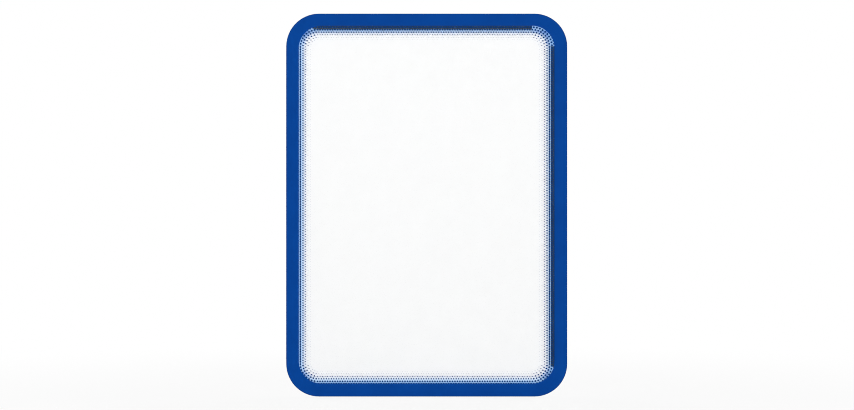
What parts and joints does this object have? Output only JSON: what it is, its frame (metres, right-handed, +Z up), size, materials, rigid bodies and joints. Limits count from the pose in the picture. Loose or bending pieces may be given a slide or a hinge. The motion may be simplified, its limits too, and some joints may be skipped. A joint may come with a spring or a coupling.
{
  "type": "magnetic photo frame",
  "caption": "Flat magnetic display frame for an A4 sheet: two clear film leaves with magnet strips in welded pockets, a blue border and a front that opens like a page.",
  "frame": {"origin": "middle of the rear face, which lies against the wall", "axes": "+Z up along the long side, +X to the viewer's right, -Y towards the viewer, +Y into the wall"},
  "size_m": [0.2403, 0.0033, 0.327],
  "materials": {
    "clear_film": "clear soft PVC film",
    "blue_border": "matt opaque blue",
    "magnet_strip": "dark brown ferrite-filled rubber",
    "white_paper": "blank white office paper"
  },
  "bodies": {
    "back_leaf": {"back_sheet": "clear_film", "back_liner": "clear_film", "back_magnet_top": "magnet_strip", "back_magnet_bottom": "magnet_strip", "back_magnet_left": "magnet_strip", "back_magnet_right": "magnet_strip", "photo_sheet": "white_paper", "hinge_strip": "clear_film"},
    "front_leaf": {"front_sheet": "clear_film", "front_border": "blue_border", "front_liner": "clear_film", "front_magnet_top": "magnet_strip", "front_magnet_bottom": "magnet_strip", "front_magnet_left": "magnet_strip", "front_magnet_right": "magnet_strip"}
  },
  "joints": [
    {"name": "front_hinge", "type": "hinge", "parent": "back_leaf", "child": "front_leaf", "pos_m": [-0.12015, -0.0016, 0], "axis": [0, 0, -1], "range_deg": [0, 180], "deforming": ["hinge_strip"]}
  ]
}
